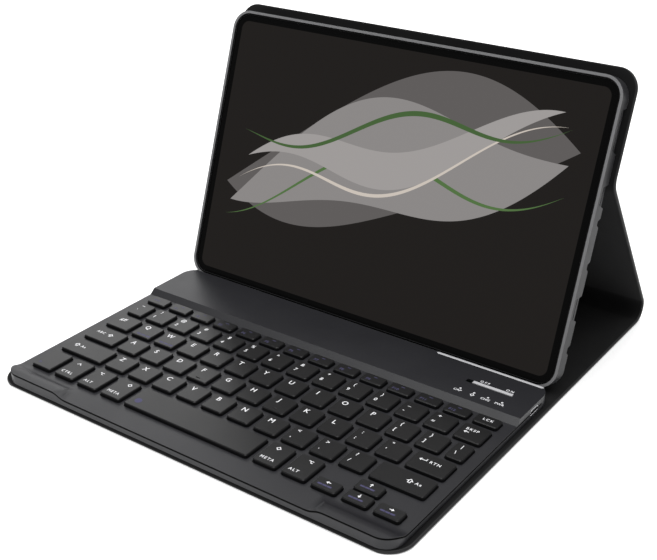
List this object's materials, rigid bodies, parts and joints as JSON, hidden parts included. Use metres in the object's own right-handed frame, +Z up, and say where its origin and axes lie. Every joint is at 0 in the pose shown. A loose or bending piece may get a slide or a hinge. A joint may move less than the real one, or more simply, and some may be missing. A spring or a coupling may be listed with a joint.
{
  "type": "tablet keyboard case",
  "caption": "Folding leather-look tablet cover set up as a stand, with a clear shell holding a tablet and a detachable low keyboard whose keys press.",
  "frame": {"origin": "middle of the bounding box on the table", "axes": "+Z up, +Y from the user to the stand, +X to the user's right"},
  "size_m": [0.2634, 0.2772, 0.1673],
  "materials": {
    "leather": "black grained synthetic leather",
    "lining": "black brushed microfibre",
    "stiff_board": "grey pressed board",
    "steel": "thin plain sheet",
    "clear_shell": "clear flexible shell",
    "adhesive": "double-sided film",
    "tablet_back": "satin dark grey",
    "display": "dark display panel",
    "screen_glass": "polished cover glass",
    "keyboard_case": "dark grey moulded plastic",
    "keycap": "dark grey moulded keycap",
    "plate": "stamped plate",
    "membrane": "printed film",
    "rubber": "moulded rubber",
    "circuit": "green circuit board",
    "cell": "pouch cell",
    "bright_metal": "bright plated metal",
    "light_lens": "milky light lens"
  },
  "bodies": {
    "base": {"base_skin": "leather", "base_board": "stiff_board", "base_lining": "lining", "base_steel_sheet": "steel"},
    "spine": {"spine_skin": "leather", "spine_lining": "lining"},
    "lower_panel": {"lower_panel_skin": "leather", "lower_panel_board": "stiff_board", "lower_panel_lining": "lining"},
    "upper_panel": {"upper_panel_skin": "leather", "upper_panel_board": "stiff_board", "upper_panel_lining": "lining", "shell_adhesive": "adhesive", "tablet_shell": "clear_shell", "tablet_housing": "tablet_back", "tablet_display": "display", "tablet_glass": "screen_glass"},
    "keyboard": {"keyboard_top_case": "keyboard_case", "keyboard_bottom_case": "keyboard_case", "key_plate": "plate", "key_membrane": "membrane", "rubber_dome_sheet": "rubber", "circuit_board": "circuit", "battery": "cell", "charging_port": "bright_metal", "indicator_lights": "light_lens", "keyboard_magnets": "bright_metal", "keyboard_feet": "rubber", "keyboard_screws": "steel"},
    "power_switch": {"power_switch": "bright_metal"},
    "key_fn": {"key_fn": "keycap"},
    "key_ctrl": {"key_ctrl": "keycap"},
    "key_alt": {"key_alt": "keycap"},
    "key_meta": {"key_meta": "keycap"},
    "key_space": {"key_space": "keycap"},
    "key_meta_right": {"key_meta_right": "keycap"},
    "key_alt_right": {"key_alt_right": "keycap"},
    "key_left": {"key_left": "keycap"},
    "key_down": {"key_down": "keycap"},
    "key_up": {"key_up": "keycap"},
    "key_right": {"key_right": "keycap"},
    "key_shift_left": {"key_shift_left": "keycap"},
    "key_shift_right": {"key_shift_right": "keycap"},
    "key_caps": {"key_caps": "keycap"},
    "key_enter": {"key_enter": "keycap"},
    "key_tab": {"key_tab": "keycap"},
    "key_backslash": {"key_backslash": "keycap"},
    "key_backquote": {"key_backquote": "keycap"},
    "key_backspace": {"key_backspace": "keycap"},
    "key_escape": {"key_escape": "keycap"},
    "key_lock": {"key_lock": "keycap"},
    "keys_lower_letters": {"keys_lower_letters": "keycap"},
    "keys_home_letters": {"keys_home_letters": "keycap"},
    "keys_upper_letters": {"keys_upper_letters": "keycap"},
    "keys_digits": {"keys_digits": "keycap"},
    "keys_function": {"keys_function": "keycap"}
  },
  "joints": [
    {"name": "spine_fold", "type": "hinge", "parent": "base", "child": "spine", "pos_m": [0, 0.13379, 0.00217], "axis": [-1, 0, 0], "range_deg": [0, 62.9], "deforming": ["spine_skin", "spine_lining"]},
    {"name": "spine_unroll", "type": "hinge", "parent": "spine", "child": "lower_panel", "pos_m": [0, 0.13759, 0.00961], "axis": [-1, 0, 0], "range_deg": [0, 62.9], "deforming": ["spine_skin", "spine_lining"]},
    {"name": "mid_fold", "type": "hinge", "parent": "lower_panel", "child": "upper_panel", "pos_m": [0, 0.06818, 0.10956], "axis": [1, 0, 0], "range_deg": [0, 54.77]},
    {"name": "keyboard_lift", "type": "slide", "parent": "base", "child": "keyboard", "axis": [0, 0, 1], "range_m": [0, 0.05]},
    {"name": "power_switch_slide", "type": "slide", "parent": "keyboard", "child": "power_switch", "axis": [-1, 0, 0], "range_m": [0, 0.0036]},
    {"name": "key_fn_press", "type": "slide", "parent": "keyboard", "child": "key_fn", "axis": [0, 0, -1], "range_m": [0, 0.0015], "stiffness_N_per_m": 400, "deforming": ["rubber_dome_sheet"]},
    {"name": "key_ctrl_press", "type": "slide", "parent": "keyboard", "child": "key_ctrl", "axis": [0, 0, -1], "range_m": [0, 0.0015], "stiffness_N_per_m": 400, "deforming": ["rubber_dome_sheet"]},
    {"name": "key_alt_press", "type": "slide", "parent": "keyboard", "child": "key_alt", "axis": [0, 0, -1], "range_m": [0, 0.0015], "stiffness_N_per_m": 400, "deforming": ["rubber_dome_sheet"]},
    {"name": "key_meta_press", "type": "slide", "parent": "keyboard", "child": "key_meta", "axis": [0, 0, -1], "range_m": [0, 0.0015], "stiffness_N_per_m": 400, "deforming": ["rubber_dome_sheet"]},
    {"name": "key_space_press", "type": "slide", "parent": "keyboard", "child": "key_space", "axis": [0, 0, -1], "range_m": [0, 0.0015], "stiffness_N_per_m": 400, "deforming": ["rubber_dome_sheet"]},
    {"name": "key_meta_right_press", "type": "slide", "parent": "keyboard", "child": "key_meta_right", "axis": [0, 0, -1], "range_m": [0, 0.0015], "stiffness_N_per_m": 400, "deforming": ["rubber_dome_sheet"]},
    {"name": "key_alt_right_press", "type": "slide", "parent": "keyboard", "child": "key_alt_right", "axis": [0, 0, -1], "range_m": [0, 0.0015], "stiffness_N_per_m": 400, "deforming": ["rubber_dome_sheet"]},
    {"name": "key_left_press", "type": "slide", "parent": "keyboard", "child": "key_left", "axis": [0, 0, -1], "range_m": [0, 0.0015], "stiffness_N_per_m": 400, "deforming": ["rubber_dome_sheet"]},
    {"name": "key_down_press", "type": "slide", "parent": "keyboard", "child": "key_down", "axis": [0, 0, -1], "range_m": [0, 0.0015], "stiffness_N_per_m": 400, "deforming": ["rubber_dome_sheet"]},
    {"name": "key_up_press", "type": "slide", "parent": "keyboard", "child": "key_up", "axis": [0, 0, -1], "range_m": [0, 0.0015], "stiffness_N_per_m": 400, "deforming": ["rubber_dome_sheet"]},
    {"name": "key_right_press", "type": "slide", "parent": "keyboard", "child": "key_right", "axis": [0, 0, -1], "range_m": [0, 0.0015], "stiffness_N_per_m": 400, "deforming": ["rubber_dome_sheet"]},
    {"name": "key_shift_left_press", "type": "slide", "parent": "keyboard", "child": "key_shift_left", "axis": [0, 0, -1], "range_m": [0, 0.0015], "stiffness_N_per_m": 400, "deforming": ["rubber_dome_sheet"]},
    {"name": "key_shift_right_press", "type": "slide", "parent": "keyboard", "child": "key_shift_right", "axis": [0, 0, -1], "range_m": [0, 0.0015], "stiffness_N_per_m": 400, "deforming": ["rubber_dome_sheet"]},
    {"name": "key_caps_press", "type": "slide", "parent": "keyboard", "child": "key_caps", "axis": [0, 0, -1], "range_m": [0, 0.0015], "stiffness_N_per_m": 400, "deforming": ["rubber_dome_sheet"]},
    {"name": "key_enter_press", "type": "slide", "parent": "keyboard", "child": "key_enter", "axis": [0, 0, -1], "range_m": [0, 0.0015], "stiffness_N_per_m": 400, "deforming": ["rubber_dome_sheet"]},
    {"name": "key_tab_press", "type": "slide", "parent": "keyboard", "child": "key_tab", "axis": [0, 0, -1], "range_m": [0, 0.0015], "stiffness_N_per_m": 400, "deforming": ["rubber_dome_sheet"]},
    {"name": "key_backslash_press", "type": "slide", "parent": "keyboard", "child": "key_backslash", "axis": [0, 0, -1], "range_m": [0, 0.0015], "stiffness_N_per_m": 400, "deforming": ["rubber_dome_sheet"]},
    {"name": "key_backquote_press", "type": "slide", "parent": "keyboard", "child": "key_backquote", "axis": [0, 0, -1], "range_m": [0, 0.0015], "stiffness_N_per_m": 400, "deforming": ["rubber_dome_sheet"]},
    {"name": "key_backspace_press", "type": "slide", "parent": "keyboard", "child": "key_backspace", "axis": [0, 0, -1], "range_m": [0, 0.0015], "stiffness_N_per_m": 400, "deforming": ["rubber_dome_sheet"]},
    {"name": "key_escape_press", "type": "slide", "parent": "keyboard", "child": "key_escape", "axis": [0, 0, -1], "range_m": [0, 0.0015], "stiffness_N_per_m": 400, "deforming": ["rubber_dome_sheet"]},
    {"name": "key_lock_press", "type": "slide", "parent": "keyboard", "child": "key_lock", "axis": [0, 0, -1], "range_m": [0, 0.0015], "stiffness_N_per_m": 400, "deforming": ["rubber_dome_sheet"]},
    {"name": "keys_lower_letters_press", "type": "slide", "parent": "keyboard", "child": "keys_lower_letters", "axis": [0, 0, -1], "range_m": [0, 0.0015], "stiffness_N_per_m": 4000, "deforming": ["rubber_dome_sheet"]},
    {"name": "keys_home_letters_press", "type": "slide", "parent": "keyboard", "child": "keys_home_letters", "axis": [0, 0, -1], "range_m": [0, 0.0015], "stiffness_N_per_m": 4400, "deforming": ["rubber_dome_sheet"]},
    {"name": "keys_upper_letters_press", "type": "slide", "parent": "keyboard", "child": "keys_upper_letters", "axis": [0, 0, -1], "range_m": [0, 0.0015], "stiffness_N_per_m": 4800, "deforming": ["rubber_dome_sheet"]},
    {"name": "keys_digits_press", "type": "slide", "parent": "keyboard", "child": "keys_digits", "axis": [0, 0, -1], "range_m": [0, 0.0015], "stiffness_N_per_m": 4800, "deforming": ["rubber_dome_sheet"]},
    {"name": "keys_function_press", "type": "slide", "parent": "keyboard", "child": "keys_function", "axis": [0, 0, -1], "range_m": [0, 0.0015], "stiffness_N_per_m": 4800, "deforming": ["rubber_dome_sheet"]}
  ],
  "couplings": [
    {"joint": "spine_unroll", "follows": "spine_fold", "ratio": 1},
    {"joint": "mid_fold", "follows": "spine_fold", "ratio": 0.87075}
  ]
}
